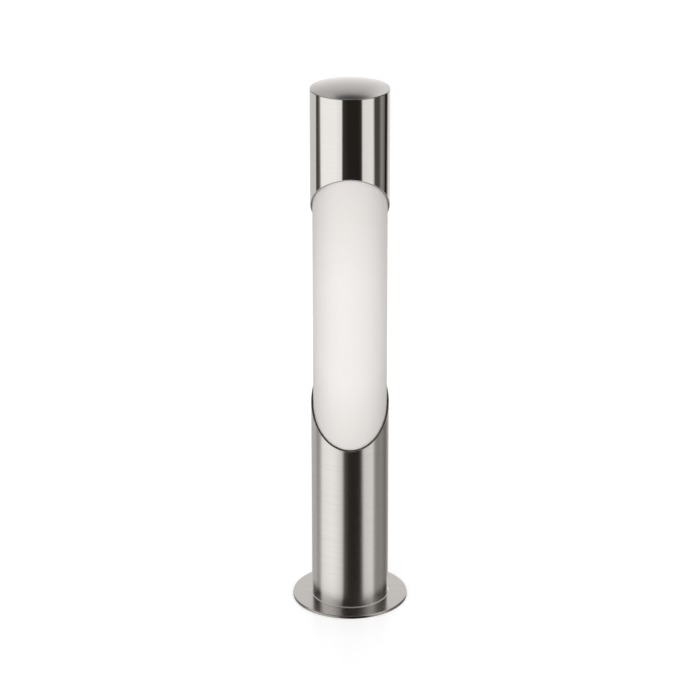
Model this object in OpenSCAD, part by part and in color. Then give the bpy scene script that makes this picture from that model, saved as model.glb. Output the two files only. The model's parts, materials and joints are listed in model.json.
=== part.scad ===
// Bollard light: an opal cylinder held between two obliquely sawn steel tubes.
// Millimetres, +Z up. The origin is the middle of the underside, on the ground. The front faces -Y.

/* [Overall] */
// Height from the ground to the crown of the cap
total_h = 800; // [740:5:900]
// Outside diameter of both tubes
tube_d = 114.3; // [114:0.1:116]
// Wall of both tubes
tube_wall = 2; // [1.6:0.1:2.2]

/* [Base plate] */
// Diameter of the base plate
base_d = 172; // [160:1:220]
// Thickness of the base plate
base_t = 4; // [3:0.5:6]
// Chamfer round the plate's upper edge
base_chamfer = 0.8; // [0.4:0.1:1.5]

/* [Oblique cuts] */
// Height at which the lower cut crosses the axis
lower_cut_z = 315; // [305:1:330]
// Height at which the upper cut crosses the axis
upper_cut_z = 618.5; // [590:0.5:630]
// Angle of both cuts from the horizontal
cut_angle = 45; // [40:1:46]

/* [Diffuser] */
// Outside diameter of the opal cylinder
diffuser_d = 108; // [107.5:0.1:108.4]
// Wall of the opal cylinder
diffuser_wall = 4; // [3:0.5:4]
// Height of its lower edge
diffuser_z0 = 217; // [214:1:225]
// Height of its upper edge
diffuser_z1 = 725; // [720:1:730]

/* [Cap] */
// Rise of the dome above the rim
cap_rise = 7; // [5:0.5:10]
// Radius that rounds the cap's rim
cap_edge_r = 1; // [0.6:0.1:1.5]

/* [Ground fixing] */
// Diameter of the circle through the anchor holes
anchor_pcd = 76; // [70:1:78]
// Diameter of each anchor hole
anchor_d = 9; // [8:0.5:10]
// Diameter of the cable hole
cable_hole_d = 32; // [26:1:34]

/* [Lamp] */
// Height of the shelf that carries the lampholder
shelf_z = 340; // [330:1:350]
// Diameter of the lamp's globe
globe_d = 60; // [55:1:64]

/* [Hidden] */
$fn = 96;

STEEL = [0.72, 0.71, 0.69];
STEEL_LIGHT = [0.82, 0.81, 0.79];
ZINC = [0.66, 0.67, 0.66];
BRASS = [0.78, 0.62, 0.30];
OPAL = [0.93, 0.92, 0.88];
WHITE = [0.92, 0.92, 0.90];
BLACK = [0.08, 0.08, 0.08];
GREY = [0.45, 0.46, 0.47];
PORCELAIN = [0.90, 0.89, 0.85];

// A small overrun that makes cuts pass right through a face
EPS = 1;
// Play between pieces of one body that slip into each other
PLAY = 0.1;
tube_r = tube_d / 2;
bore_r = tube_r - tube_wall;
diffuser_r = diffuser_d / 2;
diffuser_bore_r = diffuser_r - diffuser_wall;
gasket_t = 2;

// Cap: it stands on the tube's end, and a ring in a groove of its skirt seals it
cap_t = 2.4;
cap_band_h = 0.5;
cap_skirt_h = 9;
rim_z = total_h - cap_rise;
cap_z = rim_z - cap_edge_r - cap_band_h;
dome_r = (pow(tube_r - cap_edge_r, 2) + pow(cap_rise, 2)) / (2 * cap_rise);
dome_centre_z = total_h - dome_r;
skirt_r = bore_r - 0.15;
groove_depth = 1.2;
groove_h = 2;
groove_z = cap_z - 5.5;
seal_r = 0.64;

// Stud welded under the cap, and the bridge in the tube that it pulls against
stud_r = 3;
stud_flange_r = 6;
stud_flange_t = 1.5;
stud_top_z = dome_centre_z + sqrt(pow(dome_r - cap_t, 2) - pow(stud_flange_r, 2));
bridge_z = cap_z - 26;
bridge_w = 20;
bridge_t = 3;
washer_t = 1.4;
cap_nut_h = 5;

// Foot inside the post
foot_t = 5;
foot_r = bore_r - 0.4;
collar_h = 45;
collar_bore_r = bore_r - 5;
post_screw_z = 26;
post_screw_angles = [30, 90, 150];
post_screw_r = 2.5;
post_screw_head_r = 4.9;
anchor_angles = [30, 150, 270];

// Seat of the diffuser in the post, and its mirror image in the head
seat_t = 4;
seat_skirt_h = 16;
seat_spigot_h = 14;
spigot_r = diffuser_bore_r - 0.6;
seat_bore_r = spigot_r - 2;
seat_z = diffuser_z0 - gasket_t;
collar_z = diffuser_z1 + gasket_t;
reflector_z = collar_z + seat_t;
reflector_t = 1.5;

// Grub screws behind, in rivet nuts that sit in the tube walls
grub_angles = [50, 130];
post_grub_z = 240;
head_grub_z = 700;
nut_flange_r = 4.6;
nut_flange_t = 0.9;
nut_shank_r = 3.4;
grub_r = 2.4;
grub_length = 4;
grub_gap = 0.4;
// Depth of the flats on the tubes under screw heads and flanges
flat_depth = 0.12;
// Length of a drill or cutter that has to pass a tube's wall
drill = 12;

// Bracket of bent sheet that carries the lamp gear
sheet_t = 2;
bracket_y = 20;
bracket_w = 44;
bend_r = 3;
bracket_foot_w = 30;
bracket_foot_y = 47;
shelf_front_y = -26;
bracket_screw_xs = [-9, 9];
bracket_screw_y = 39;

// Wiring box on the bracket's front face
box_w = 60;
box_h = 80;
box_z = 80;
box_front_y = -18;
box_wall = 2.5;
box_boss_r = 3.4;
box_boss_inset = box_wall + 2.6;
box_screw_zs = [box_z + 12, box_z + box_h - 12];
box_screw_r = 1.7;
lid_t = 2.5;
lid_screw_r = 1.4;
box_gasket_t = 0.8;
box_top_z = box_z + box_h;
lid_y = box_front_y - box_gasket_t - lid_t;

// Terminal block on the box's back wall
block_w = 33;
block_d = 14;
block_h = 18;
block_z = 118;
block_back_y = bracket_y - box_wall;
block_front_y = block_back_y - block_d;
pole_pitch = 10.5;
pole_screw_zs = [block_z + 4.5, block_z + block_h - 4.5];
wire_y = block_back_y - block_d / 2;

// Cable gland through the box's floor
gland_hex_r = 13.6;
gland_thread_r = 9.9;
gland_bore_r = 7;
gland_neck_r = 9.3;
cable_r = 5;
seal_length = 15;

// Lamp gear on the shelf: a holder for a 27 mm screw base
holder_z = shelf_z + sheet_t;
holder_h = 40;
holder_r = 20;
holder_base_r = 24;
holder_base_t = 6;
holder_screw_xs = [-20, 20];
holder_cup_r = 14.9;
lamp_z = holder_z + 16;
lamp_shell_r = 13.05;
holder_shell_r = 13.45;
lamp_shell_z0 = lamp_z + 5;
housing_z0 = lamp_z + 27;
globe_r = globe_d / 2;
globe_z = lamp_z + 78;
globe_cut_z = globe_z - 12;
housing_r1 = sqrt(pow(globe_r, 2) - pow(globe_z - globe_cut_z, 2));
housing_r0 = 14;
housing_rim_h = 3;
housing_h = globe_cut_z - housing_z0;

// Wires: from the terminals up through the grommet to the lampholder and the earth screw
wire_r = 1.3;
clip_zs = [215, 285];
clip_h = 6;
clip_d = 4.4;
wire_x = 8;
wire_clip_y = 18;
earth_wire_y = 17.5;
live_route = [[-10.5, wire_y, 131], [-10.5, wire_y, 140], [-9, wire_y, 145], [-3.5, wire_y, 150],
    [-2.2, wire_y, 154], [-2.2, wire_y, 163], [-3.4, 11.5, 170], [-7.2, 16, 182],
    [-wire_x, wire_clip_y, 195], [-wire_x, wire_clip_y, 215], [-wire_x, wire_clip_y, 250],
    [-wire_x, wire_clip_y, 285], [-wire_x, wire_clip_y, 305], [-7.6, 16.5, 315], [-7, 12.2, 328],
    [-7, 11, 338], [-7, 11, 347]];
neutral_route = [for (p = live_route) [-p[0], p[1], p[2]]];
earth_route = [[0, wire_y, 131], [0, wire_y, 140], [0, 11.5, 150], [0, 12.9, 156], [0, 12.9, 162],
    [0, 15, 168], [0, earth_wire_y, 173], [0, earth_wire_y, 178.5]];
earth_z = box_top_z + 24;
tag_t = 0.8;

// ---------- shared shapes ----------

// A ring that stands on z
module ring(r_out, r_in, z, h) {
    translate([0, 0, z])
        difference() {
            cylinder(r = r_out, h = h);
            translate([0, 0, -EPS])
                cylinder(r = r_in, h = h + 2 * EPS);
        }
}

// Moves its children to a radial seat at an angle and a height, with +Z pointing outwards
module radial(angle, z, r = 0) {
    rotate([0, 0, angle])
        translate([r, 0, z])
            rotate([0, 90, 0])
                children();
}

// All that lies above (side 1) or below (side -1) a plane that crosses the axis at height z
// and rises towards +Y by the given angle
module beyond_plane(z, angle, side) {
    cutter = total_h;
    translate([0, 0, z])
        rotate([angle, 0, 0])
            translate([-cutter / 2, -cutter / 2, side > 0 ? 0 : -cutter])
                cube(cutter);
}

// Mirrors its children upside down where side is -1
module flipped(side) {
    if (side > 0)
        children();
    else
        mirror([0, 0, 1])
            children();
}

// A length of the steel tube
module tube(z0, z1) {
    ring(tube_r, bore_r, z0, z1 - z0);
}

// Pan-head screw: the head stands on z = 0 and the shank goes down
module pan_screw(r, length, head_r, head_h) {
    difference() {
        union() {
            translate([0, 0, -length])
                cylinder(r = r, h = length);
            cylinder(r = head_r, h = head_h * 0.55);
            translate([0, 0, head_h * 0.55])
                cylinder(r1 = head_r, r2 = head_r * 0.66, h = head_h * 0.45);
        }
        cross_recess(head_r * 0.95, head_h);
    }
}

// Cross recess in a screw head whose top is at height h
module cross_recess(width, h) {
    for (turn = [0, 90])
        rotate([0, 0, turn])
            translate([-width / 2, -width / 9, h * 0.45])
                cube([width, width / 4.5, h]);
}

// Grub screw with a hexagon socket: its tip is at z = 0 and it goes up
module grub_screw(r, length, socket_r) {
    difference() {
        union() {
            cylinder(r1 = r * 0.6, r2 = r, h = r * 0.4);
            translate([0, 0, r * 0.4])
                cylinder(r = r, h = length - r * 0.4);
        }
        translate([0, 0, length - 2])
            cylinder(r = socket_r, h = 5, $fn = 6);
    }
}

// Rivet nut in a tube wall: the flange lies on the tube's skin, and the shank ends at the bore
module rivet_nut(angle, z) {
    radial(angle, z)
        difference() {
            union() {
                translate([0, 0, bore_r - 0.3])
                    cylinder(r = nut_shank_r, h = tube_wall + 0.6);
                translate([0, 0, tube_r - flat_depth])
                    cylinder(r = nut_flange_r, h = nut_flange_t);
            }
            translate([0, 0, bore_r - 2])
                cylinder(r = grub_r + 0.05, h = drill);
        }
}

// Two grub screws whose tips stop just short of the diffuser
module grub_pair(z) {
    for (angle = grub_angles)
        radial(angle, z, diffuser_r + grub_gap)
            grub_screw(grub_r, grub_length, 1.35);
}

// Holes for two rivet nuts in a tube wall, with a flat for their flanges
module nut_holes(z) {
    for (angle = grub_angles) {
        radial(angle, z, bore_r - 5)
            cylinder(r = nut_shank_r + 0.05, h = drill);
        radial(angle, z, tube_r - flat_depth)
            cylinder(r = nut_flange_r + 0.1, h = drill);
    }
}

// Hexagonal prism standing on z with rounded-off corners
module hex_prism(corner_r, z, h) {
    intersection() {
        translate([0, 0, z])
            cylinder(r = corner_r, h = h, $fn = 6);
        translate([0, 0, z - corner_r * 0.94 + h * 0.5])
            cylinder(r1 = 0, r2 = corner_r * 1.94 + h, h = corner_r * 1.94 + h);
        translate([0, 0, z])
            cylinder(r = corner_r * 0.98, h = h);
    }
}

// ---------- post and ground fixing ----------

module base_plate() {
    color(STEEL)
        difference() {
            union() {
                cylinder(d = base_d, h = base_t - base_chamfer);
                translate([0, 0, base_t - base_chamfer])
                    cylinder(r1 = base_d / 2, r2 = base_d / 2 - base_chamfer, h = base_chamfer);
            }
            translate([0, 0, -EPS])
                cylinder(r = bore_r, h = base_t + 2 * EPS);
        }
}

module post_tube() {
    color(STEEL)
        difference() {
            tube(base_t, lower_cut_z + tube_r * 1.4);
            beyond_plane(lower_cut_z, cut_angle, 1);
            nut_holes(post_grub_z);
            for (angle = post_screw_angles)
                post_screw_hole(angle);
        }
}

// Clearance hole for a post screw, with a flat for its head
module post_screw_hole(angle) {
    radial(angle, post_screw_z, bore_r - 5)
        cylinder(r = post_screw_r + 0.8, h = drill);
    radial(angle, post_screw_z, tube_r - flat_depth)
        cylinder(r = post_screw_head_r + 0.3, h = drill);
}

module mounting_foot() {
    color(ZINC)
        difference() {
            union() {
                cylinder(r = foot_r, h = foot_t);
                ring(foot_r, collar_bore_r, foot_t - 0.5, collar_h - foot_t + 0.5);
            }
            translate([0, 0, -EPS])
                cylinder(d = cable_hole_d, h = foot_t + 2 * EPS);
            for (angle = anchor_angles)
                rotate([0, 0, angle])
                    translate([anchor_pcd / 2, 0, -EPS])
                        cylinder(d = anchor_d, h = foot_t + 2 * EPS);
            for (x = bracket_screw_xs)
                translate([x, bracket_screw_y, -EPS])
                    cylinder(r = 2.1, h = foot_t + 2 * EPS);
            for (angle = post_screw_angles)
                radial(angle, post_screw_z, collar_bore_r - 5)
                    cylinder(r = post_screw_r + 0.05, h = drill);
        }
}

// Button-head screws through the post into the foot's collar
module post_screws() {
    color(STEEL_LIGHT)
        for (angle = post_screw_angles)
            radial(angle, post_screw_z, tube_r)
                difference() {
                    union() {
                        translate([0, 0, -6])
                            cylinder(r = post_screw_r, h = 6.5);
                        translate([0, 0, -flat_depth])
                            cylinder(r = post_screw_head_r, h = 1 + flat_depth);
                        translate([0, 0, 1])
                            cylinder(r1 = post_screw_head_r, r2 = 3.1, h = 1.6);
                    }
                    translate([0, 0, 0.8])
                        cylinder(r = 1.8, h = 4, $fn = 6);
                }
}

// Ledge with a skirt against the tube and a spigot that centres the diffuser; z is the ledge's face,
// and the spigot points up (side 1) or down (side -1)
module seat(z, side) {
    translate([0, 0, z])
        flipped(side) {
            ring(bore_r - PLAY / 2, seat_bore_r, -seat_t, seat_t);
            ring(bore_r - PLAY / 2, bore_r - 2, -seat_t - seat_skirt_h, seat_skirt_h + 0.5);
            ring(spigot_r, seat_bore_r, -0.5, seat_spigot_h + 0.5);
        }
}

module seat_ring() {
    color(ZINC)
        seat(seat_z, 1);
}

module lower_gasket() {
    color(BLACK)
        ring(diffuser_r + 0.2, spigot_r + PLAY, seat_z, gasket_t);
}

module post_rivet_nuts() {
    color(STEEL_LIGHT)
        for (angle = grub_angles)
            rivet_nut(angle, post_grub_z);
}

module post_grub_screws() {
    color(BLACK)
        grub_pair(post_grub_z);
}

// ---------- lamp gear ----------

// Side view of the bent bracket, in Y and Z: a foot flange at the back, an upright and a shelf
module bracket_profile() {
    top = shelf_z + sheet_t;
    back = bracket_y + sheet_t;
    difference() {
        polygon([[bracket_y, foot_t], [bracket_foot_y, foot_t], [bracket_foot_y, foot_t + sheet_t],
            [back, foot_t + sheet_t], [back, top], [shelf_front_y, top], [shelf_front_y, shelf_z],
            [bracket_y, shelf_z]]);
        rounding_cut(bracket_y, foot_t, 1, 1);
        rounding_cut(back, top, -1, -1);
    }
    fillet(back, foot_t + sheet_t, 1, 1);
    fillet(bracket_y, shelf_z, -1, -1);
}

// What is cut away to round an outer corner at (x, y); sx and sy point into the sheet
module rounding_cut(x, y, sx, sy) {
    r = bend_r + sheet_t;
    translate([x, y])
        mirror_xy(sx, sy)
            difference() {
                translate([-EPS, -EPS])
                    square([r + EPS, r + EPS]);
                translate([r, r])
                    circle(r = r);
            }
}

// What is added to round an inner corner at (x, y); sx and sy point out of the sheet
module fillet(x, y, sx, sy) {
    translate([x, y])
        mirror_xy(sx, sy)
            difference() {
                translate([-0.5, -0.5])
                    square([bend_r + 0.5, bend_r + 0.5]);
                translate([bend_r, bend_r])
                    circle(r = bend_r);
            }
}

// Mirrors a flat shape in X and in Y where the sign is -1
module mirror_xy(sx, sy) {
    mirror([sx < 0 ? 1 : 0, 0])
        mirror([0, sy < 0 ? 1 : 0])
            children();
}

module lamp_bracket() {
    color(ZINC)
        difference() {
            translate([-bracket_w / 2, 0, 0])
                rotate([90, 0, 90])
                    linear_extrude(bracket_w)
                        bracket_profile();
            for (x = [-bracket_w / 2 - EPS, bracket_foot_w / 2])
                translate([x, bracket_y - EPS, 0])
                    cube([(bracket_w - bracket_foot_w) / 2 + EPS, bracket_foot_y, 60]);
            for (x = bracket_screw_xs)
                translate([x, bracket_screw_y, 0])
                    cylinder(r = 2.7, h = drill);
            for (z = box_screw_zs)
                translate([0, bracket_y - 5, z])
                    rotate([-90, 0, 0])
                        cylinder(r = box_screw_r + 0.5, h = drill);
            translate([0, bracket_y - 5, earth_z])
                rotate([-90, 0, 0])
                    cylinder(r = 2.1, h = drill);
            for (x = holder_screw_xs)
                translate([x, 0, shelf_z - 5])
                    cylinder(r = 2.2, h = drill);
            wire_window();
        }
}

// Opening in the shelf for the wires
module wire_window() {
    translate([-11, 7, shelf_z - 5])
        cube([22, 9, drill]);
}

module bracket_screws() {
    color(ZINC)
        for (x = bracket_screw_xs)
            translate([x, bracket_screw_y, foot_t + sheet_t])
                pan_screw(2, foot_t + sheet_t - 1, 4.4, 3);
}

module wiring_box() {
    inner_w = box_w - 2 * box_wall;
    inner_h = box_h - 2 * box_wall;
    depth = bracket_y - box_front_y;
    color(GREY)
        difference() {
            union() {
                difference() {
                    translate([-box_w / 2, box_front_y, box_z])
                        cube([box_w, depth, box_h]);
                    translate([-inner_w / 2, box_front_y - EPS, box_z + box_wall])
                        cube([inner_w, depth - box_wall + EPS, inner_h]);
                }
                box_corners()
                    translate([0, box_front_y, 0])
                        rotate([-90, 0, 0])
                            cylinder(r = box_boss_r, h = depth - 1);
            }
            box_corners()
                translate([0, box_front_y - EPS, 0])
                    rotate([-90, 0, 0])
                        cylinder(r = lid_screw_r + 0.05, h = 20);
            translate([0, 0, box_z - EPS])
                cylinder(r = gland_thread_r + PLAY, h = box_wall + 2 * EPS);
            translate([0, wire_y, box_top_z - box_wall - EPS])
                cylinder(r = 5, h = box_wall + 2 * EPS);
            for (z = box_screw_zs)
                translate([0, bracket_y - box_wall - EPS, z])
                    rotate([-90, 0, 0])
                        cylinder(r = box_screw_r + 0.05, h = 6);
        }
}

// Places its children at the box's four corner bosses
module box_corners() {
    x = box_w / 2 - box_boss_inset;
    for (side = [-1, 1], z = [box_z + box_boss_inset, box_top_z - box_boss_inset])
        translate([side * x, 0, z])
            children();
}

module box_gasket() {
    color(BLACK)
        difference() {
            translate([-box_w / 2 + 0.5, box_front_y - box_gasket_t, box_z + 0.5])
                cube([box_w - 1, box_gasket_t, box_h - 1]);
            translate([-box_w / 2 + box_wall, box_front_y - 5, box_z + box_wall])
                cube([box_w - 2 * box_wall, 10, box_h - 2 * box_wall]);
        }
}

module box_lid() {
    color(GREY)
        difference() {
            translate([-box_w / 2, lid_y, box_z])
                cube([box_w, lid_t, box_h]);
            box_corners()
                translate([0, lid_y - EPS, 0])
                    rotate([-90, 0, 0])
                        cylinder(r = lid_screw_r + 0.3, h = lid_t + 2 * EPS);
        }
}

module lid_screws() {
    color(STEEL_LIGHT)
        box_corners()
            translate([0, lid_y, 0])
                rotate([90, 0, 0])
                    pan_screw(lid_screw_r, 14, 2.9, 2);
}

module box_screws() {
    color(STEEL_LIGHT)
        for (z = box_screw_zs)
            translate([0, bracket_y + sheet_t, z])
                rotate([-90, 0, 0])
                    pan_screw(box_screw_r, sheet_t + box_wall - 0.2, 3.6, 2.4);
}

module terminal_block() {
    color(WHITE)
        difference() {
            translate([-block_w / 2, block_front_y, block_z])
                cube([block_w, block_d, block_h]);
            for (pole = [-1:1]) {
                translate([pole * pole_pitch, wire_y, block_z - EPS])
                    cylinder(r = 2, h = block_h + 2 * EPS);
                for (z = pole_screw_zs)
                    translate([pole * pole_pitch, block_front_y - EPS, z])
                        rotate([-90, 0, 0])
                            cylinder(r = 2.2, h = 5);
            }
        }
}

module terminal_screws() {
    color(BRASS)
        for (pole = [-1:1], z = pole_screw_zs)
            translate([pole * pole_pitch, block_front_y + 1.2, z])
                rotate([-90, 0, 0])
                    difference() {
                        cylinder(r = 2.1, h = 2.8);
                        translate([-3, -0.4, -EPS])
                            cube([6, 0.8, 1.8]);
                    }
}

// The gland hangs from the box's floor on its thread
module gland_body() {
    color(GREY)
        difference() {
            union() {
                hex_prism(gland_hex_r, box_z - 6, 6);
                translate([0, 0, box_z - 20])
                    cylinder(r = gland_neck_r, h = 15);
                translate([0, 0, box_z - 1])
                    cylinder(r = gland_thread_r, h = 11);
            }
            translate([0, 0, box_z - 30])
                cylinder(r = gland_bore_r, h = 50);
        }
}

module gland_locknut() {
    color(GREY)
        difference() {
            hex_prism(gland_hex_r, box_z + box_wall, 5);
            translate([0, 0, box_z])
                cylinder(r = gland_thread_r + 0.05, h = drill);
        }
}

module gland_seal() {
    color(BLACK)
        ring(gland_bore_r - 0.05, cable_r, box_z - 23, seal_length);
}

module gland_nut() {
    color(GREY)
        difference() {
            union() {
                hex_prism(gland_hex_r, box_z - 19, 12);
                translate([0, 0, box_z - 25])
                    cylinder(r1 = 9, r2 = 12, h = 6.2);
            }
            translate([0, 0, box_z - 23])
                cylinder(r = gland_neck_r + 0.1, h = 20);
            translate([0, 0, box_z - 30])
                cylinder(r = 6.2, h = 10);
        }
}

// Rubber sleeve where the wires leave the box
module grommet() {
    color(BLACK)
        translate([0, wire_y, box_top_z])
            difference() {
                union() {
                    translate([0, 0, -box_wall - 1.4])
                        cylinder(r = 6.4, h = 1.4);
                    translate([0, 0, -box_wall - 0.5])
                        cylinder(r = 4.95, h = box_wall + 1);
                    cylinder(r1 = 6.8, r2 = 5.6, h = 4);
                }
                translate([0, 0, -10])
                    cylinder(r = 4.4, h = 20);
            }
}

// Point at t from 0 to 1 on a smooth curve through four points, between the middle two
function spline_point(a, b, c, d, t) =
    0.5 * (2 * b + (c - a) * t + (2 * a - 5 * b + 4 * c - d) * t * t
        + (3 * b - a - 3 * c + d) * t * t * t);

// A smooth path through a route, with a number of steps between each pair of points
function smooth(route, steps) =
    let (n = len(route) - 1)
    [for (i = [0:n - 1], s = [0:steps - 1])
        spline_point(route[max(i - 1, 0)], route[i], route[i + 1], route[min(i + 2, n)], s / steps),
    route[n]];

function unit(v) = v / norm(v);

// A round wire swept along a path that mostly goes up; its rings stay level with the X axis
module wire(route, r, steps, sides = 8) {
    path = smooth(route, steps);
    n = len(path) - 1;
    rings = [for (i = [0:n])
        let (along = unit(path[min(i + 1, n)] - path[max(i - 1, 0)]),
            across = unit(cross([0, 1, 0], along)),
            out = cross(along, across))
        for (k = [0:sides - 1])
            path[i] + r * (cos(k * 360 / sides) * across + sin(k * 360 / sides) * out)];
    bottom = [[for (k = [sides - 1:-1:0]) k]];
    top = [[for (k = [0:sides - 1]) n * sides + k]];
    walls = [for (i = [0:n - 1], k = [0:sides - 1])
        let (next = (k + 1) % sides)
        [i * sides + k, i * sides + next, (i + 1) * sides + next, (i + 1) * sides + k]];
    polyhedron(points = rings, faces = concat(bottom, top, walls), convexity = 4);
}

module live_wire() {
    color("saddlebrown")
        wire(live_route, wire_r, 3);
}

module neutral_wire() {
    color("royalblue")
        wire(neutral_route, wire_r, 3);
}

module earth_wire() {
    color("yellowgreen")
        wire(earth_route, wire_r, 3);
}

// Saddles that hold the two wires on the bracket
module wire_clips() {
    color(WHITE)
        for (z = clip_zs)
            difference() {
                translate([-wire_x - 4, bracket_y - clip_d, z - clip_h / 2])
                    cube([2 * wire_x + 8, clip_d, clip_h]);
                for (x = [-wire_x, wire_x])
                    translate([x, wire_clip_y, z - clip_h / 2 - EPS])
                        cylinder(r = wire_r + 0.15, h = clip_h + 2 * EPS);
            }
}

// Ring tag under the head of the earth screw, with a barrel for the wire
module earth_tag() {
    color(BRASS)
        difference() {
            union() {
                translate([0, bracket_y - tag_t, earth_z])
                    rotate([-90, 0, 0])
                        cylinder(r = 4.2, h = tag_t);
                translate([-2, bracket_y - tag_t, earth_z - 8])
                    cube([4, tag_t, 8]);
                translate([-2, bracket_y - 4.8, earth_z - 8.5])
                    cube([4, 4.8, 4]);
            }
            translate([0, earth_wire_y, earth_z - 10])
                cylinder(r = wire_r + 0.2, h = 7);
            translate([0, bracket_y - 8, earth_z])
                rotate([-90, 0, 0])
                    cylinder(r = 2.1, h = drill);
        }
}

// Screw, washer and nut that clamp the tag on the bracket
module earth_screw() {
    color(STEEL_LIGHT) {
        translate([0, bracket_y - tag_t, earth_z])
            rotate([90, 0, 0])
                pan_screw(2, sheet_t + 6, 3.8, 2.6);
        translate([0, bracket_y + sheet_t, earth_z])
            rotate([-90, 0, 0])
                difference() {
                    hex_prism(4, 0, 3);
                    translate([0, 0, -EPS])
                        cylinder(r = 2.05, h = 6);
                }
    }
}

module lampholder() {
    color(PORCELAIN)
        difference() {
            union() {
                translate([0, 0, holder_z])
                    cylinder(r = holder_base_r, h = holder_base_t);
                translate([0, 0, holder_z + holder_base_t - 1])
                    cylinder(r1 = holder_r + 1.5, r2 = holder_r, h = 6);
                translate([0, 0, holder_z + holder_base_t])
                    cylinder(r = holder_r, h = holder_h - holder_base_t - 1);
                translate([0, 0, holder_z + holder_h - 1])
                    cylinder(r1 = holder_r, r2 = holder_r - 1, h = 1);
            }
            translate([0, 0, lamp_z - 1])
                cylinder(r = holder_cup_r, h = holder_h);
            translate([-3.2, -3.2, lamp_z - 6])
                cube([6.4, 6.4, 10]);
            for (side = [-1, 1])
                translate([side * 7, 11, holder_z - EPS])
                    cylinder(r = 1.6, h = 7);
            for (x = holder_screw_xs)
                translate([x, 0, holder_z - EPS])
                    cylinder(r = 1.8, h = 6);
        }
}

// Threaded liner of the holder, drawn at its crest, and its floor
module lampholder_shell() {
    color(BRASS) {
        ring(holder_shell_r + 0.7, holder_shell_r, lamp_z + 1, 22);
        ring(holder_shell_r + 0.7, 8, lamp_z - 1, 2.5);
    }
}

// Sprung tongue that meets the lamp's centre contact
module lampholder_contact() {
    color(BRASS) {
        translate([-3, -3, lamp_z - 1])
            cube([6, 6, 1]);
        translate([-3, 1.5, lamp_z - 6])
            cube([6, 1.5, 5.5]);
    }
}

module lampholder_screws() {
    color(STEEL_LIGHT)
        for (x = holder_screw_xs)
            translate([x, 0, shelf_z])
                rotate([180, 0, 0])
                    pan_screw(1.75, sheet_t + 4.5, 3.6, 2.4);
}

// ---------- lamp ----------

module lamp_contact() {
    color(STEEL_LIGHT)
        translate([0, 0, lamp_z])
            cylinder(r1 = 4, r2 = 4.8, h = 1.6);
}

module lamp_insulator() {
    color(BLACK)
        translate([0, 0, lamp_z + 1.6])
            cylinder(r1 = 6, r2 = 11.4, h = lamp_shell_z0 - lamp_z - 1.6);
}

module lamp_shell() {
    color(STEEL_LIGHT)
        difference() {
            translate([0, 0, lamp_shell_z0])
                cylinder(r = lamp_shell_r, h = housing_z0 - lamp_shell_z0);
            translate([0, 0, lamp_shell_z0 + 0.6])
                cylinder(r = lamp_shell_r - 0.6, h = 40);
        }
}

module lamp_housing() {
    color(WHITE)
        translate([0, 0, housing_z0])
            difference() {
                union() {
                    cylinder(r = housing_r0, h = housing_rim_h);
                    translate([0, 0, housing_rim_h])
                        cylinder(r1 = housing_r0, r2 = housing_r1, h = housing_h - housing_rim_h);
                }
                translate([0, 0, housing_rim_h])
                    cylinder(r1 = housing_r0 - 2.5, r2 = housing_r1 - 2,
                             h = housing_h - housing_rim_h + 0.01);
            }
}

module lamp_globe() {
    color(OPAL)
        translate([0, 0, globe_z])
            difference() {
                sphere(r = globe_r);
                sphere(r = globe_r - 1.2);
                translate([-globe_d, -globe_d, globe_cut_z - globe_z - 2 * globe_d])
                    cube(2 * globe_d);
            }
}

// ---------- diffuser ----------

module diffuser() {
    color(OPAL)
        ring(diffuser_r, diffuser_bore_r, diffuser_z0, diffuser_z1 - diffuser_z0);
}

// ---------- head ----------

module head_tube() {
    color(STEEL_LIGHT)
        difference() {
            tube(upper_cut_z - tube_r * 1.4, cap_z);
            beyond_plane(upper_cut_z, -cut_angle, -1);
            nut_holes(head_grub_z);
        }
}

module head_collar() {
    color(ZINC)
        difference() {
            seat(collar_z, -1);
            reflector_seats()
                translate([0, 0, reflector_z - 3])
                    cylinder(r = 1.3, h = 5);
        }
}

module upper_gasket() {
    color(BLACK)
        ring(diffuser_r + 0.2, spigot_r + PLAY, diffuser_z1, gasket_t);
}

// White disc that closes the light chamber; it lies on the collar's ledge
module reflector() {
    color(WHITE)
        difference() {
            translate([0, 0, reflector_z])
                cylinder(r = bore_r - 2.3, h = reflector_t);
            reflector_seats()
                translate([0, 0, reflector_z - EPS])
                    cylinder(r = 1.6, h = reflector_t + 2 * EPS);
        }
}

// Places its children at the reflector's three screws
module reflector_seats() {
    for (angle = [30, 150, 270])
        rotate([0, 0, angle])
            translate([(seat_bore_r + bore_r - 2) / 2, 0, 0])
                children();
}

module reflector_screws() {
    color(STEEL_LIGHT)
        reflector_seats()
            translate([0, 0, reflector_z + reflector_t])
                pan_screw(1.25, reflector_t + 2.8, 2.5, 1.8);
}

module head_rivet_nuts() {
    color(STEEL_LIGHT)
        for (angle = grub_angles)
            rivet_nut(angle, head_grub_z);
}

module head_grub_screws() {
    color(BLACK)
        grub_pair(head_grub_z);
}

// Half outline of the dome between the axis and a radius, from height z up, offset inwards by t
module dome_half(r, z, t) {
    intersection() {
        translate([0, dome_centre_z])
            circle(r = dome_r - t, $fn = 360);
        translate([0, z])
            square([r, 60]);
    }
}

// Pressed cap: dome, rounded rim and a grooved skirt that slips into the tube
module cap() {
    color(STEEL_LIGHT)
        rotate_extrude()
            difference() {
                union() {
                    dome_half(tube_r - cap_edge_r, cap_z, 0);
                    translate([0, cap_z])
                        square([tube_r, cap_band_h]);
                    translate([tube_r - cap_edge_r, rim_z - cap_edge_r])
                        intersection() {
                            circle(r = cap_edge_r);
                            square(cap_edge_r);
                        }
                    translate([0, cap_z - cap_skirt_h])
                        square([skirt_r, cap_skirt_h + 0.1]);
                }
                dome_half(skirt_r - cap_t, cap_z - cap_skirt_h - EPS, cap_t);
                translate([skirt_r - groove_depth, groove_z])
                    square([groove_depth + EPS, groove_h]);
            }
}

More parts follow.
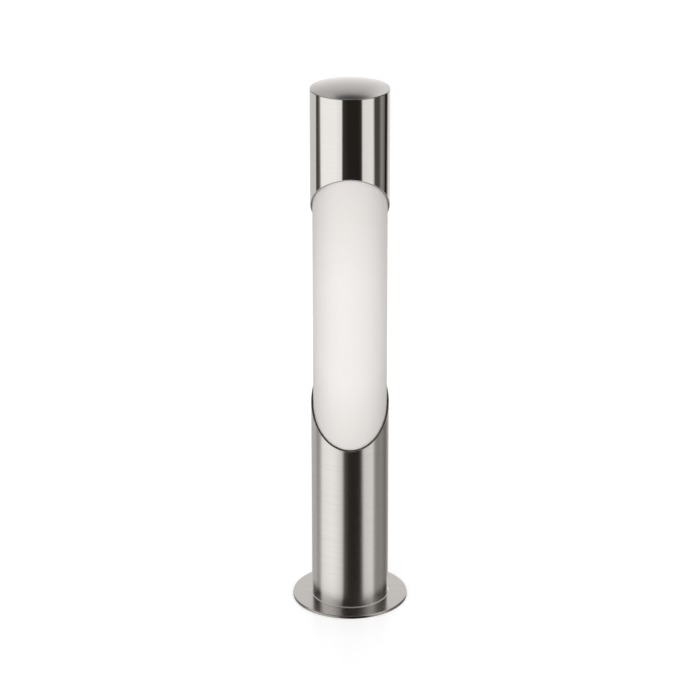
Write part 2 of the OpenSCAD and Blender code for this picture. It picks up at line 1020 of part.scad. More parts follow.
// Rubber ring squeezed between the groove of the cap's skirt and the tube
module cap_seal() {
    color(BLACK)
        rotate_extrude()
            translate([bore_r - 0.03 - seal_r, groove_z + groove_h / 2])
                circle(r = seal_r);
}

module cap_stud() {
    color(STEEL_LIGHT) {
        translate([0, 0, bridge_z - 12])
            cylinder(r = stud_r, h = stud_top_z - bridge_z + 12);
        translate([0, 0, stud_top_z - stud_flange_t])
            cylinder(r = stud_flange_r, h = stud_flange_t);
    }
}

module cap_bridge() {
    color(ZINC)
        intersection() {
            difference() {
                translate([-tube_r, -bridge_w / 2, bridge_z])
                    cube([tube_d, bridge_w, bridge_t]);
                translate([0, 0, bridge_z - EPS])
                    cylinder(r = stud_r + 0.3, h = bridge_t + 2 * EPS);
            }
            translate([0, 0, bridge_z - EPS])
                cylinder(r = bore_r - PLAY / 2, h = bridge_t + 2 * EPS);
        }
}

module cap_washer() {
    color(ZINC)
        ring(7, stud_r + 0.2, bridge_z - washer_t, washer_t);
}

module cap_nut() {
    color(ZINC)
        difference() {
            hex_prism(5.7, bridge_z - washer_t - cap_nut_h, cap_nut_h);
            translate([0, 0, bridge_z - 10])
                cylinder(r = stud_r + 0.05, h = drill);
        }
}

base_plate();
post_tube();
mounting_foot();
post_screws();
seat_ring();
lower_gasket();
post_rivet_nuts();
post_grub_screws();
lamp_bracket();
bracket_screws();
wiring_box();
box_gasket();
box_lid();
lid_screws();
box_screws();
terminal_block();
terminal_screws();
gland_body();
gland_locknut();
gland_seal();
gland_nut();
grommet();
live_wire();
neutral_wire();
earth_wire();
wire_clips();
earth_tag();
earth_screw();
lampholder();
lampholder_shell();
lampholder_contact();
lampholder_screws();
lamp_shell();
lamp_insulator();
lamp_contact();
lamp_housing();
lamp_globe();
diffuser();
head_tube();
head_collar();
upper_gasket();
reflector();
reflector_screws();
head_rivet_nuts();
head_grub_screws();
cap();
cap_seal();
cap_stud();
cap_bridge();
cap_washer();
cap_nut();
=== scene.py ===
"""Bollard light: materials, fine pieces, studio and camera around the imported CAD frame.

Metres, +Z up, the front faces -Y. The materials are procedural, and every piece rides on a CAD body.
"""
import json
import math

import bmesh
import bpy
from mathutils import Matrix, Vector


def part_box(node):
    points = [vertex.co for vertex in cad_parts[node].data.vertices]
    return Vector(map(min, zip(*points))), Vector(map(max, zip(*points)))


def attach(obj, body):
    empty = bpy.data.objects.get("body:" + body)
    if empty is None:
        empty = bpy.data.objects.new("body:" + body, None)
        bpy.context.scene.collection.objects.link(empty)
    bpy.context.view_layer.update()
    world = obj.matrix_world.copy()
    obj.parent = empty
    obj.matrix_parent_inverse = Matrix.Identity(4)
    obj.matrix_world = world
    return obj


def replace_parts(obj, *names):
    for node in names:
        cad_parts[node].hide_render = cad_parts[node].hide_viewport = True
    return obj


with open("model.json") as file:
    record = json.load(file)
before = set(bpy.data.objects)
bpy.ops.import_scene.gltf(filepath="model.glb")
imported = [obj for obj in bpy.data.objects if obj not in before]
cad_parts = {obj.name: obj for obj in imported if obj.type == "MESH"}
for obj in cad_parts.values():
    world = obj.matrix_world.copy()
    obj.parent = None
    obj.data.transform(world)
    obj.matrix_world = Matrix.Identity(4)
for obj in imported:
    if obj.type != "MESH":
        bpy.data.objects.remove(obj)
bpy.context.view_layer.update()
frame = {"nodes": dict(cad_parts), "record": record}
MM = 0.001

# Driving sizes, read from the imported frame
PLATE_LOW, PLATE_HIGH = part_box("base_plate")
POST_LOW, POST_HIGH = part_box("post_tube")
HEAD_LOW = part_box("head_tube")[0]
SHELL_LOW, SHELL_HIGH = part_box("lamp_shell")
TUBE_R = (POST_HIGH.x - POST_LOW.x) / 2
# Both cuts slope at 45 degrees, so each crosses the axis one radius from its furthest point
LOWER_CUT_Z = POST_HIGH.z - TUBE_R
UPPER_CUT_Z = HEAD_LOW.z + TUBE_R


# ---------- node helpers ----------

class Tree:
    """A material or world node tree, with short calls for adding and linking nodes."""

    def __init__(self, owner):
        owner.use_nodes = True
        self.owner = owner
        self.nodes = owner.node_tree.nodes
        self.links = owner.node_tree.links

    def add(self, kind, **settings):
        node = self.nodes.new("ShaderNode" + kind)
        for name, value in settings.items():
            setattr(node, name, value)
        return node

    def feed(self, socket, value):
        """Links value into the socket if it is a socket, and sets it as the default otherwise."""
        if isinstance(value, bpy.types.NodeSocket):
            self.links.new(value, socket)
        else:
            socket.default_value = value

    def maths(self, operation, a, b=0.0):
        node = self.add("Math", operation=operation)
        self.feed(node.inputs[0], a)
        self.feed(node.inputs[1], b)
        return node.outputs[0]

    def remap(self, value, low, high, to_low, to_high, smooth=False):
        """Carries low..high over to to_low..to_high, clamped at both ends."""
        node = self.add("MapRange", interpolation_type="SMOOTHSTEP" if smooth else "LINEAR")
        for name, number in (("Value", value), ("From Min", low), ("From Max", high),
                             ("To Min", to_low), ("To Max", to_high)):
            self.feed(node.inputs[name], number)
        return node.outputs["Result"]

    def mix_colour(self, factor, a, b, blend="MIX"):
        node = self.add("Mix", data_type="RGBA", blend_type=blend)
        self.feed(node.inputs["Factor"], factor)
        self.feed(node.inputs["A"], a)
        self.feed(node.inputs["B"], b)
        return node.outputs["Result"]

    def mix_value(self, factor, a, b):
        node = self.add("Mix", data_type="FLOAT")
        self.feed(node.inputs["Factor"], factor)
        self.feed(node.inputs["A"], a)
        self.feed(node.inputs["B"], b)
        return node.outputs["Result"]

    def place(self):
        """Object coordinates as separate x, y and z sockets."""
        return self.split(self.add("TexCoord").outputs["Object"])

    def split(self, vector):
        node = self.add("SeparateXYZ")
        self.feed(node.inputs[0], vector)
        return node.outputs

    def combine(self, x, y, z):
        node = self.add("CombineXYZ")
        for socket, value in zip(node.inputs, (x, y, z)):
            self.feed(socket, value)
        return node.outputs[0]

    def noise(self, vector, scale, detail=3.0, roughness=0.55):
        node = self.add("TexNoise")
        self.feed(node.inputs["Vector"], vector)
        node.inputs["Scale"].default_value = scale
        node.inputs["Detail"].default_value = detail
        node.inputs["Roughness"].default_value = roughness
        return node.outputs["Fac"]

    def stretched(self, x, y, z):
        """Object coordinates multiplied by a factor for each axis."""
        node = self.add("Mapping")
        self.feed(node.inputs["Vector"], self.add("TexCoord").outputs["Object"])
        node.inputs["Scale"].default_value = (x, y, z)
        return node.outputs[0]

    def bump(self, height, strength, distance):
        node = self.add("Bump")
        self.feed(node.inputs["Height"], height)
        node.inputs["Strength"].default_value = strength
        node.inputs["Distance"].default_value = distance
        return node.outputs[0]


def rgba(colour):
    return (*colour, 1.0)


def grey(level):
    return rgba((level, level, level))


def material(name, **constants):
    """A material's tree and its Principled shader; what is the same all over is set on the sockets."""
    made = bpy.data.materials.new(name)
    tree = Tree(made)
    shader = tree.nodes["Principled BSDF"]
    for socket, value in constants.items():
        shader.inputs[socket.replace("_", " ")].default_value = value
    return tree, shader


# ---------- materials ----------

# Roughness of the faces that the polisher left: tube bores, sawn ends and the base plate's side
RAW_ROUGHNESS = 0.18
# Noise runs about this range around its middle, so masks and tones are stretched from it
NOISE_LOW, NOISE_HIGH = 0.3, 0.7
# Lengths of the brush lines and of the broad bands in them, as multiples of the fine lines' width
LINE_LENGTH, BAND_WIDTH = 60, 12


def grain_vector(tree, grain, fine):
    """Coordinates in which noise makes brush lines: ring round a tube, length along X, spun round a disc."""
    along = fine / LINE_LENGTH
    if grain == "ring":
        return tree.stretched(along, along, fine)
    if grain == "length":
        return tree.stretched(along, fine, fine)
    x, y, _ = tree.place()
    way = tree.add("VectorMath", operation="NORMALIZE")
    tree.feed(way.inputs[0], tree.combine(x, y, 0.0))
    way_x, way_y, _ = tree.split(way.outputs[0])
    return tree.combine(way_x, way_y, tree.maths("MULTIPLY", axis_distance(tree), fine))


def axis_distance(tree):
    """Distance from the light's axis."""
    x, y, _ = tree.place()
    squares = tree.maths("ADD", tree.maths("MULTIPLY", x, x), tree.maths("MULTIPLY", y, y))
    return tree.maths("SQRT", squares)


def inside_tube(tree):
    """1 on a tube's inner wall and on its sawn face, 0 on its outer skin; where it is 1 the colour is
    darkened, partly as painted shade.
    """
    return tree.remap(axis_distance(tree), TUBE_R - 0.6 * MM, TUBE_R - 0.4 * MM, 1.0, 0.0)


def plate_side(tree):
    """1 on the base plate's laser-cut side, 0 on its top and its chamfer; where it is 1 the colour is
    darkened, partly as painted shade.
    """
    z = tree.place()[2]
    return tree.remap(z, PLATE_HIGH.z - 1.1 * MM, PLATE_HIGH.z - 0.9 * MM, 1.0, 0.0)


def brushed_steel(name, colour, roughness, spread, grain, fine=2600, depth=0.05, anisotropy=0.0, turn=0.0,
                  contrast=1.0, raw=None, raw_and_painted_shade=0.4):
    """Stainless steel: brush lines, a cloudy polish and faint smudges; raw(tree) masks unfinished faces,
    which are rougher and darker in colour, partly for their duller finish and partly as painted shade.
    """
    tree, shader = material(name, Metallic=1.0, Anisotropic=anisotropy, Anisotropic_Rotation=turn)
    lines = tree.noise(grain_vector(tree, grain, fine), 1.0, 4.0, 0.6)
    broad = tree.noise(grain_vector(tree, grain, fine / BAND_WIDTH), 1.0, 3.0, 0.5)
    cloud = tree.noise(tree.stretched(1, 1, 0.6), 9.0, 3.0)
    smudge = tree.noise(tree.stretched(1, 1, 1), 34.0, 5.0, 0.7)
    tone = tree.maths("ADD", tree.maths("MULTIPLY", lines, 0.55), tree.maths("MULTIPLY", broad, 0.45))
    dark = tuple(c * (1 - 0.07 * contrast) for c in colour)
    light = tuple(min(c * (1 + 0.05 * contrast), 1.0) for c in colour)
    shade = tree.mix_colour(tree.remap(tone, NOISE_LOW, NOISE_HIGH, 0.0, 1.0), rgba(dark), rgba(light))
    low = max(roughness - spread, 0.02)
    polish = tree.remap(cloud, NOISE_LOW, NOISE_HIGH, low, roughness + spread * 0.6)
    streaks = tree.remap(lines, NOISE_LOW, NOISE_HIGH, -spread * 0.4, spread * 0.4)
    streaked = tree.maths("ADD", polish, streaks)
    marked = tree.maths("ADD", streaked, tree.remap(smudge, 0.55, 0.8, 0.0, spread * 0.7, smooth=True))
    gloss = tree.maths("MAXIMUM", marked, 0.02)
    if raw:
        mask = raw(tree)
        # Darker colour on the masked faces: partly their duller unpolished finish, partly painted shade in
        # the tube bores, on the sawn ends and on the plate's side
        raw_and_shaded_tone = tuple(c * raw_and_painted_shade for c in colour)
        shade = tree.mix_colour(mask, shade, rgba(raw_and_shaded_tone))
        gloss = tree.mix_value(mask, gloss, RAW_ROUGHNESS)
    tree.feed(shader.inputs["Base Color"], shade)
    tree.feed(shader.inputs["Roughness"], gloss)
    tree.feed(shader.inputs["Normal"], tree.bump(lines, depth, 0.2 * MM))
    if anisotropy:
        tangent = tree.add("Tangent", direction_type="RADIAL", axis="Z")
        tree.feed(shader.inputs["Tangent"], tangent.outputs[0])
    return tree.owner


def painted_shade_near_cuts(tree):
    """Painted shade: how much of the light inside the cylinder the tubes leave, painted into the opal's
    colour; less close to the two oblique cuts.
    """
    _, y, z = tree.place()
    above_lower = tree.maths("SUBTRACT", tree.maths("SUBTRACT", z, y), LOWER_CUT_Z)
    below_upper = tree.maths("SUBTRACT", UPPER_CUT_Z, tree.maths("ADD", z, y))
    # Painted shade: right at each cut the opal's colour falls to this fraction of its tone
    shade_at_cut = 0.85
    lower = tree.remap(above_lower, 0.0, 100 * MM, shade_at_cut, 1.0)
    upper = tree.remap(below_upper, 0.0, 150 * MM, shade_at_cut, 1.0)
    return tree.maths("MULTIPLY", lower, upper)


def opal_acrylic(name, colour, painted_dimming=None):
    """Matte translucent white: slow clouds in its tone and a satin skin; painted_dimming(tree) scales its
    tone down as painted shade.
    """
    tree, shader = material(name, IOR=1.49, Subsurface_Weight=0.35, Subsurface_Scale=0.005)
    shader.inputs["Subsurface Radius"].default_value = (1.0, 0.92, 0.85)
    cloud = tree.noise(tree.stretched(1, 1, 0.4), 7.0, 2.0)
    shade = tuple(c * 0.985 for c in colour)
    tone = tree.mix_colour(tree.remap(cloud, 0.35, 0.65, 0.0, 1.0), rgba(shade), rgba(colour))
    # Painted shade: the colour is multiplied by a painted level that is below 1 where shade is painted
    if painted_dimming:
        level = painted_dimming(tree)
        tone = tree.mix_colour(1.0, tone, tree.combine(level, level, level), "MULTIPLY")
    tree.feed(shader.inputs["Base Color"], tone)
    skin = tree.noise(tree.stretched(1, 1, 1), 900.0, 3.0)
    tree.feed(shader.inputs["Roughness"], tree.remap(skin, NOISE_LOW, NOISE_HIGH, 0.46, 0.56))
    tree.feed(shader.inputs["Normal"], tree.bump(skin, 0.04, 0.1 * MM))
    return tree.owner


def mottled(tree, shader, noise, colour, shade):
    """Feeds the shader a colour that the noise darkens in patches, down to shade times the colour."""
    dark = tuple(c * shade for c in colour)
    tree.feed(shader.inputs["Base Color"],
              tree.mix_colour(tree.remap(noise, NOISE_LOW, NOISE_HIGH, 0.0, 1.0), rgba(dark), rgba(colour)))


def moulded(name, colour, roughness, texture=1400.0, depth=0.15, coat=0.0):
    """Moulded plastic, rubber or paint: fine surface texture and uneven gloss."""
    tree, shader = material(name, Coat_Weight=coat, Coat_Roughness=0.12)
    cloud = tree.noise(tree.stretched(1, 1, 1), 55.0, 3.0)
    fine = tree.noise(tree.stretched(1, 1, 1), texture, 4.0, 0.6)
    mottled(tree, shader, cloud, colour, 0.88)
    spread = 0.06
    tree.feed(shader.inputs["Roughness"],
              tree.remap(fine, NOISE_LOW, NOISE_HIGH, roughness - spread, roughness + spread))
    tree.feed(shader.inputs["Normal"], tree.bump(fine, depth, 0.05 * MM))
    return tree.owner


def cast_metal(name, colour, roughness, texture=700.0, depth=0.3):
    """Cast, plated or turned metal: mottled tone and a pitted skin."""
    tree, shader = material(name, Metallic=1.0)
    mottle = tree.noise(tree.stretched(1, 1, 1), 120.0, 5.0, 0.65)
    pits = tree.noise(tree.stretched(1, 1, 1), texture, 4.0, 0.6)
    mottled(tree, shader, mottle, colour, 0.8)
    spread = 0.07
    tree.feed(shader.inputs["Roughness"],
              tree.remap(mottle, NOISE_LOW, NOISE_HIGH, roughness - spread, roughness + spread))
    tree.feed(shader.inputs["Normal"], tree.bump(pits, depth, 0.08 * MM))
    return tree.owner


def striped_insulation(name, base, stripe):
    """Green insulation with yellow stripes along the lead."""
    tree, shader = material(name)
    wave = tree.add("TexWave", wave_type="BANDS", bands_direction="X")
    tree.feed(wave.inputs["Vector"], tree.stretched(1, 1, 1))
    wave.inputs["Scale"].default_value = 120.0
    wave.inputs["Distortion"].default_value = 0.4
    edge = tree.remap(wave.outputs["Fac"], 0.45, 0.55, 0.0, 1.0, smooth=True)
    tree.feed(shader.inputs["Base Color"], tree.mix_colour(edge, rgba(base), rgba(stripe)))
    fine = tree.noise(tree.stretched(1, 1, 1), 1500.0, 3.0)
    tree.feed(shader.inputs["Roughness"], tree.remap(fine, NOISE_LOW, NOISE_HIGH, 0.38, 0.5))
    return tree.owner


MATERIALS = {
    # The raw faces of the plate, post and head steel are darker in colour: partly their duller finish,
    # partly painted shade
    "plate_steel": brushed_steel("plate_steel", (0.64, 0.625, 0.61), 0.22, 0.04, "length",
                                 raw=plate_side, raw_and_painted_shade=0.6),
    "post_steel": brushed_steel("post_steel", (0.80, 0.785, 0.765), 0.24, 0.03, "ring", fine=3600,
                                contrast=0.7, anisotropy=0.9, turn=0.25, raw=inside_tube),
    "head_steel": brushed_steel("head_steel", (0.86, 0.85, 0.83), 0.075, 0.02, "ring", fine=4200,
                                contrast=0.4, depth=0.02, raw=inside_tube),
    "cap_steel": brushed_steel("cap_steel", (0.48, 0.473, 0.468), 0.18, 0.03, "spun", contrast=0.6),
    # The opal's colour carries painted shade close to the two cuts
    "opal": opal_acrylic("opal", (0.935, 0.893, 0.863), painted_shade_near_cuts),
    "weld_steel": brushed_steel("weld_steel", (0.95, 0.94, 0.92), 0.45, 0.05, "ring", contrast=0.4),
    "screw_steel": brushed_steel("screw_steel", (0.72, 0.72, 0.71), 0.26, 0.08, "ring", depth=0.1),
    "black_steel": cast_metal("black_steel", (0.06, 0.06, 0.065), 0.42),
    "cast_alloy": cast_metal("cast_alloy", (0.66, 0.67, 0.68), 0.42),
    "zinc_sheet": cast_metal("zinc_sheet", (0.60, 0.62, 0.64), 0.34, texture=400.0, depth=0.12),
    "seal_rubber": moulded("seal_rubber", (0.022, 0.022, 0.023), 0.62),
    "grey_plastic": moulded("grey_plastic", (0.30, 0.32, 0.34), 0.48),
    "white_plastic": moulded("white_plastic", (0.82, 0.82, 0.80), 0.34, depth=0.06, coat=0.2),
    "brass": cast_metal("brass", (0.85, 0.62, 0.28), 0.24, depth=0.05),
    "porcelain": moulded("porcelain", (0.84, 0.83, 0.79), 0.22, texture=160.0, depth=0.08, coat=0.6),
    "brown_lead": moulded("brown_lead", (0.16, 0.07, 0.03), 0.42, depth=0.05),
    "blue_lead": moulded("blue_lead", (0.04, 0.13, 0.42), 0.42, depth=0.05),
    "green_lead": striped_insulation("green_lead", (0.05, 0.30, 0.06), (0.75, 0.62, 0.04)),
    "white_paint": moulded("white_paint", (0.88, 0.88, 0.86), 0.5, texture=2200.0, depth=0.1),
    "lamp_metal": brushed_steel("lamp_metal", (0.80, 0.79, 0.76), 0.20, 0.05, "ring", depth=0.08),
    "lamp_insulation": moulded("lamp_insulation", (0.02, 0.02, 0.025), 0.2, depth=0.02, coat=0.4),
    "lamp_opal": opal_acrylic("lamp_opal", (0.88, 0.87, 0.84)),
}


# ---------- CAD nodes: materials, clean normals and broken edges ----------

# Widths of the broken edges in millimetres, and the one for every other node
EDGE = {"base_plate": 0.2, "post_tube": 0.4, "head_tube": 0.3, "diffuser": 0.6, "cap": 0.12,
        "mounting_foot": 0.5, "wiring_box": 0.5, "box_lid": 0.6, "terminal_block": 0.4,
        "lampholder": 0.6, "lamp_bracket": 0.25}
FINE_EDGE = 0.12
# Faces that meet at more than this angle get a broken edge
SHARP = math.radians(28)


def refine(node, obj):
    """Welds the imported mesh's split corners, breaks its sharp edges and evens its normals."""
    weld = obj.modifiers.new("weld", "WELD")
    weld.merge_threshold = 1e-6
    bevel = obj.modifiers.new("edges", "BEVEL")
    bevel.width = EDGE.get(node, FINE_EDGE) * MM
    bevel.segments = 2
    bevel.limit_method = "ANGLE"
    bevel.angle_limit = SHARP
    bevel.use_clamp_overlap = True
    bevel.harden_normals = False
    normals = obj.modifiers.new("normals", "WEIGHTED_NORMAL")
    normals.keep_sharp = False
    normals.weight = 100


for part in frame["record"]["subparts"]:
    cad_node = frame["nodes"][part["node"]]
    cad_node.data.materials.clear()
    cad_node.data.materials.append(MATERIALS[part["material_slot"]])
    refine(part["node"], cad_node)


# ---------- pieces that the CAD model keeps plain ----------

def new_piece(name, mesh, body, slot, look=None):
    """Adds a finished mesh as a smooth piece on a body, with its slot's material or a look of its own."""
    for polygon in mesh.polygons:
        polygon.use_smooth = True
    obj = bpy.data.objects.new(name, mesh)
    bpy.context.scene.collection.objects.link(obj)
    obj.data.materials.append(MATERIALS[look or slot])
    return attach(obj, body)


def revolved(name, profile, segments, wobble):
    """A ring swept from a closed profile of (radius, height) points; wobble(angle, k) adds to a radius."""
    made = bmesh.new()
    loops = []
    for i in range(segments):
        angle = 2 * math.pi * i / segments
        loop = []
        for k, (radius, height) in enumerate(profile):
            reach = radius + wobble(angle, k)
            loop.append(made.verts.new((reach * math.sin(angle), -reach * math.cos(angle), height)))
        loops.append(loop)
    count = len(profile)
    for i in range(segments):
        here, there = loops[i], loops[(i + 1) % segments]
        for k in range(count):
            after = (k + 1) % count
            made.faces.new((here[k], there[k], there[after], here[after]))
    bmesh.ops.recalc_face_normals(made, faces=made.faces)
    mesh = bpy.data.meshes.new(name)
    made.to_mesh(mesh)
    made.free()
    return mesh


def weld_bead():
    """The ground-down weld between the tube and the base plate, with slight ripples."""
    leg, root, sink = 1.2 * MM, 0.2 * MM, 0.1 * MM
    top = PLATE_HIGH.z
    steps = 8
    profile = [(TUBE_R - root, top - sink), (TUBE_R - root, top + leg)]
    for i in range(steps + 1):
        turn = math.pi / 2 * i / steps
        profile.append((TUBE_R + leg * (1 - math.cos(turn)) * 0.98, top + leg * (1 - math.sin(turn))))
    profile.append((TUBE_R + leg, top - sink))

    def ripple(angle, k):
        on_bead = 2 <= k <= steps + 1
        return 0.07 * MM * math.sin(140 * angle) * math.sin(3 * angle + 1) if on_bead else 0.0

    mesh = revolved("weld_bead", profile, 720, ripple)
    return new_piece("weld_bead", mesh, "post", "post_steel", "weld_steel")


def screw_base():
    """The lamp's screw base with its real round-bottomed thread, closed at both ends."""
    pitch = 25.4 / 7 * MM
    crest = (SHELL_HIGH.x - SHELL_LOW.x) / 2
    root = crest - 0.9 * MM
    low, high = SHELL_LOW.z, SHELL_HIGH.z
    around, rise = 96, 0.3 * MM
    rows = int((high - low) / rise)
    made = bmesh.new()
    grid = []
    for j in range(rows + 1):
        z = low + (high - low) * j / rows
        fade = min(1.0, (z - low) / (2 * MM), (high - z) / (2.5 * MM))
        ring = []
        for i in range(around):
            angle = 2 * math.pi * i / around
            wave = 0.5 + 0.5 * math.cos(2 * math.pi * z / pitch - angle)
            radius = crest - (crest - root) * (1 - wave) * fade - 0.25 * MM * (1 - fade)
            ring.append(made.verts.new((radius * math.cos(angle), radius * math.sin(angle), z)))
        grid.append(ring)
    for lower, upper in zip(grid, grid[1:]):
        for i in range(around):
            after = (i + 1) % around
            made.faces.new((lower[i], lower[after], upper[after], upper[i]))
    made.faces.new(list(reversed(grid[0])))
    made.faces.new(grid[-1])
    mesh = bpy.data.meshes.new("screw_base")
    made.to_mesh(mesh)
    made.free()
    piece = new_piece("screw_base", mesh, "lamp_base", "lamp_metal")
    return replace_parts(piece, "lamp_shell")


weld_bead()
screw_base()


# ---------- studio: floor, world and camera ----------

# What the steel mirrors: brightness by azimuth in degrees, where 0 is behind the camera, positive is to
# its right and 180 is straight behind the object. FAR lies a little below the horizon, NEAR is the floor
# close to the object, and HIGH is a band above the horizon. All heights are sines of the elevation.
# FAR and NEAR were typed and rounded by hand, but they began as the brightness that a measuring script
# read across the photograph's two tubes, and they still follow it. HIGH and PLAIN share some of their edges.
FAR = [(-180, 0.82), (-166, 0.74), (-155, 0.60), (-116, 0.62), (-112, 0.04), (-104, 0.06), (-97, 0.18),
       (-91, 0.90), (-78, 0.95), (-42, 0.95), (-24, 0.83), (-21, 0.035), (-6, 0.016), (24, 0.015),
       (33, 0.035), (37, 0.78), (68, 0.84), (76, 0.06), (92, 0.06), (101, 0.25), (110, 0.21), (117, 0.12),
       (120, 0.01), (130, 0.01), (137, 0.40), (145, 0.78), (180, 0.82)]
NEAR = [(-180, 0.80), (-165, 0.60), (-150, 0.43), (-112, 0.45), (-104, 0.56), (-92, 0.86), (-80, 0.95),
        (-54, 1.0), (-38, 0.84), (-23, 0.60), (-17, 0.11), (-9, 0.06), (0, 0.02), (26, 0.02), (38, 0.08),
        (45, 0.66), (74, 0.80), (84, 0.40), (118, 0.26), (135, 0.24), (146, 0.28), (157, 0.42), (168, 0.66),
        (180, 0.80)]
HIGH = [(-180, 0.85), (-152, 0.85), (-145, 0.0), (-101, 0.0), (-92, 0.84), (-60, 0.80), (-42, 0.50),
        (-30, 0.20), (-20, 0.0), (42, 0.0), (54, 0.20), (70, 0.42), (78, 0.28), (88, 0.08), (100, 0.0),
        (148, 0.0), (155, 0.85), (180, 0.85)]
# The rest of the space above the horizon, over and under HIGH
PLAIN = [(-180, 0.70), (-150, 0.70), (-135, 0.50), (-104, 0.50), (-92, 0.70), (-34, 0.70), (-22, 0.07),
         (40, 0.07), (56, 0.62), (76, 0.62), (95, 0.45), (140, 0.45), (152, 0.70), (180, 0.70)]
# The wall straight behind the object, by height, and its panels to the right and high on the left
REAR = [(-0.2, 1.2), (0.0, 1.15), (0.15, 1.08), (0.28, 1.0), (0.44, 0.84), (0.53, 0.75), (0.6, 0.62),
        (0.64, 0.18), (0.67, 0.02)]
RIGHT_PANEL, LEFT_PANEL = 1.25, 0.78
# The roof: dark over the front, bright to the right, a skylight over the back, and a softer zenith
ROOF_DARK, ROOF_RIGHT, SKYLIGHT, ZENITH = 0.03, 0.95, 0.85, 0.55
# Tints of the bright and of the dark panels
WARM, SHADE = (1.01, 0.988, 0.968), (1.12, 0.99, 0.87)
# The soft light that matte surfaces see: its level all round, how much more comes from the front than from
# behind, and a lobe in front
SOFT_BASE, SOFT_TILT, SOFT_LOBE = 0.43, 0.16, 0.96


def level_ramp(tree, value, stops, low, high):
    """Brightness that goes straight from each (value, level) stop to the next, from low to high."""
    ramp = tree.add("ValToRGB")
    marks = ramp.color_ramp.elements
    marks.remove(marks[-1])
    for i, (number, level) in enumerate(stops):
        place = (number - low) / (high - low)
        mark = marks[0] if i == 0 else marks.new(place)
        mark.position = place
        mark.color = grey(level)
    tree.feed(ramp.inputs[0], tree.remap(value, low, high, 0.0, 1.0))
    return ramp.outputs["Color"]


def mirrored_studio(tree, x, y, z):
    """What polished steel sees: panels round the object, a dark slot over the camera, and a bright back."""
    def rising(value, low, high):
        return tree.remap(value, low, high, 0.0, 1.0, smooth=True)

    def both(a, b):
        return tree.maths("MULTIPLY", a, b)

    azimuth = both(tree.maths("ARCTAN2", x, both(y, -1.0)), 180 / math.pi)
    far, near, high, plain = (level_ramp(tree, azimuth, stops, -180.0, 180.0)
                              for stops in (FAR, NEAR, HIGH, PLAIN))
    low = tree.mix_colour(tree.remap(z, -0.37, -0.34, 0.0, 1.0), near, far)
    band = both(rising(z, 0.22, 0.32), tree.remap(z, 0.60, 0.68, 1.0, 0.0, smooth=True))
    around = tree.mix_colour(rising(z, -0.02, 0.12), low, tree.mix_colour(band, plain, high))
    wall = tree.mix_colour(rising(x, 0.08, 0.2), level_ramp(tree, z, REAR, -1.0, 1.0), grey(RIGHT_PANEL))
    wall = tree.mix_colour(both(rising(x, -0.07, -0.11), rising(z, 0.50, 0.60)), wall, grey(LEFT_PANEL))
    behind = both(rising(tree.maths("ABSOLUTE", azimuth), 147.0, 153.0), rising(z, -0.30, -0.22))
    sides = tree.mix_colour(behind, around, wall)
    roof = tree.mix_colour(rising(x, 0.26, 0.48), grey(ROOF_DARK), grey(ROOF_RIGHT))
    roof = tree.mix_colour(both(rising(y, -0.1, 0.2), rising(z, 0.75, 0.84)), roof, grey(SKYLIGHT))
    roof = tree.mix_colour(rising(z, 0.90, 0.99), roof, grey(ZENITH))
    whole = tree.mix_colour(rising(z, 0.66, 0.78), sides, roof)
    tint = tree.mix_colour(tree.remap(whole, 0.0, 0.4, 0.0, 1.0), rgba(SHADE), rgba(WARM))
    return tree.mix_colour(1.0, whole, tint, "MULTIPLY")


def soft_studio(tree, x, y):
    """What matte surfaces see: soft light, strongest from the front and a little to the left."""
    aside = math.radians(6)
    front = tree.maths("MULTIPLY", tree.maths("ADD", tree.maths("MULTIPLY", x, math.sin(aside)),
                                              tree.maths("MULTIPLY", y, math.cos(aside))), -1.0)
    lobe = tree.maths("MULTIPLY", tree.maths("MULTIPLY", front, front), SOFT_LOBE)
    level = tree.maths("ADD", tree.maths("ADD", lobe, tree.maths("MULTIPLY", front, SOFT_TILT)), SOFT_BASE)
    return tree.combine(level, level, level)


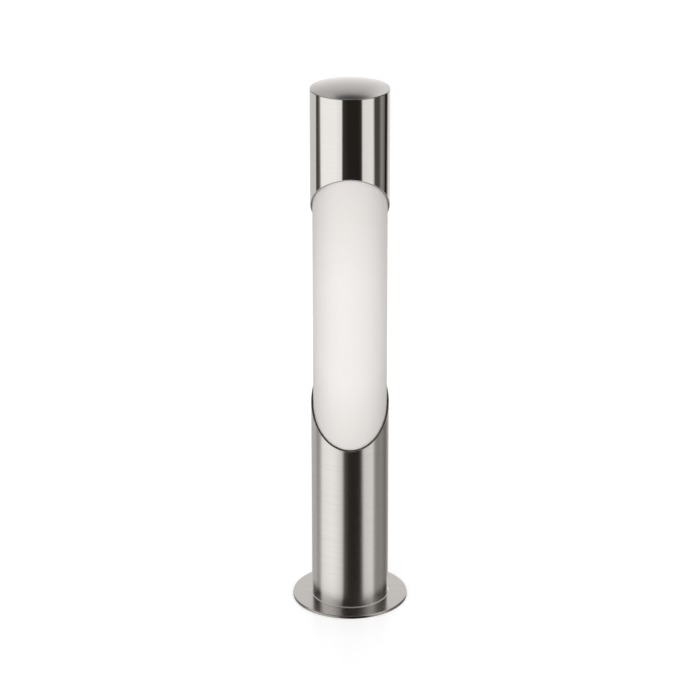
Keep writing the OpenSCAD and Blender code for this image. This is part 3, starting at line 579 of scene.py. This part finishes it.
def make_world():
    """White studio: mirrors see its panels, everything else sees soft light, and the camera sees white."""
    world = bpy.data.worlds.new("studio")
    bpy.context.scene.world = world
    tree = Tree(world)
    tree.nodes.clear()
    x, y, z = tree.split(tree.add("TexCoord").outputs["Generated"])
    path = tree.add("LightPath")
    soft, mirrored = soft_studio(tree, x, y), mirrored_studio(tree, x, y, z)
    lit = tree.mix_colour(path.outputs["Is Glossy Ray"], soft, mirrored)
    seen = tree.mix_colour(path.outputs["Is Camera Ray"], lit, grey(1.0))
    background = tree.add("Background")
    tree.feed(background.inputs["Color"], seen)
    out = tree.add("OutputWorld")
    tree.links.new(background.outputs[0], out.inputs["Surface"])
    world.cycles.sampling_method = "NONE"


def make_floor():
    """A wide white floor with a faint gloss; the world stands in for it in reflections and bounced light."""
    half = 30.0
    corners = [(-half, -half, 0), (half, -half, 0), (half, half, 0), (-half, half, 0)]
    mesh = bpy.data.meshes.new("floor")
    mesh.from_pydata(corners, [], [(0, 1, 2, 3)])
    floor = bpy.data.objects.new("floor", mesh)
    floor.location.z = PLATE_LOW.z - 0.05 * MM
    bpy.context.scene.collection.objects.link(floor)
    tree, shader = material("floor_white", Roughness=0.25, Specular_IOR_Level=0.2)
    mottle = tree.noise(tree.stretched(1, 1, 1), 3.0, 2.0)
    tree.feed(shader.inputs["Base Color"], tree.mix_colour(mottle, grey(0.97), grey(1.0)))
    shader.inputs["Emission Color"].default_value = grey(1.0)
    shader.inputs["Emission Strength"].default_value = 0.40
    floor.data.materials.append(tree.owner)
    floor.visible_glossy = False
    floor.visible_diffuse = False


def make_camera():
    """A long lens at a standing photographer's height, looking down at the middle of the light."""
    distance, height, tilt_down = 3.774, 1.921, 22.01
    camera = bpy.data.cameras.new("camera")
    camera.sensor_width = 36.0
    camera.lens = 143.5
    camera.clip_end = 200.0
    obj = bpy.data.objects.new("camera", camera)
    obj.location = (0.0, -distance, height)
    obj.rotation_euler = (math.radians(90 - tilt_down), 0.0, 0.0)
    bpy.context.scene.collection.objects.link(obj)
    bpy.context.scene.camera = obj


make_world()
make_floor()
make_camera()
bpy.context.scene.view_settings.view_transform = "Standard"
